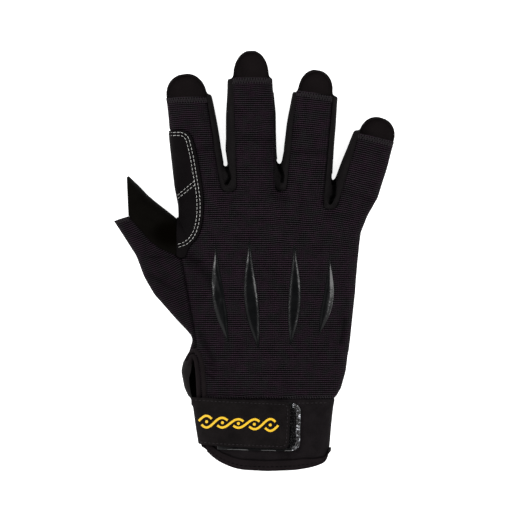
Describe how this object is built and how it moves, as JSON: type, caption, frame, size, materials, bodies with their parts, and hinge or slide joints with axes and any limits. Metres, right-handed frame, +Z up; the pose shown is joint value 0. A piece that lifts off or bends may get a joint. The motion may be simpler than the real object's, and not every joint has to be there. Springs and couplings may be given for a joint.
{
  "type": "climbing glove",
  "caption": "Right-hand climbing glove with a ribbed knit back, open finger ends with palm tongues, a smooth palm, a slit wrist and a hook-and-loop strap.",
  "frame": {"origin": "middle of the glove's bounding box on the surface that it lies on", "axes": "+Y along the middle finger, +X towards the little finger, +Z up out of the back of the hand"},
  "size_m": [0.1588, 0.2383, 0.0247],
  "materials": {
    "knit": "fine crosswise rib knit, near-black",
    "palm_leather": "smooth matte synthetic leather, near-black",
    "side_strip": "smooth stretch cloth, matte near-black",
    "cuff_cloth": "smooth stretch cloth, matte near-black",
    "binding": "folded binding tape, matte black",
    "hook_tape": "glossy black hook tape",
    "strap_cloth": "matte black laminated tape with a yellow printed twist band",
    "gloss_film": "glossy black transfer film",
    "yellow_print": "matte yellow print",
    "thread": "off-white and dark grey sewing thread"
  },
  "bodies": {
    "root": {"back_panel": "knit", "palm_panel": "palm_leather", "side_strip_index_middle": "side_strip", "side_strip_middle_ring": "side_strip", "side_strip_ring_little": "side_strip", "index_patch": "palm_leather", "thumb_back": "knit", "thumb_palm": "palm_leather", "cuff": "cuff_cloth", "cuff_binding": "binding", "slit_binding": "binding", "fastener_patch": "hook_tape", "wrist_strap": "strap_cloth"}
  },
  "joints": []
}
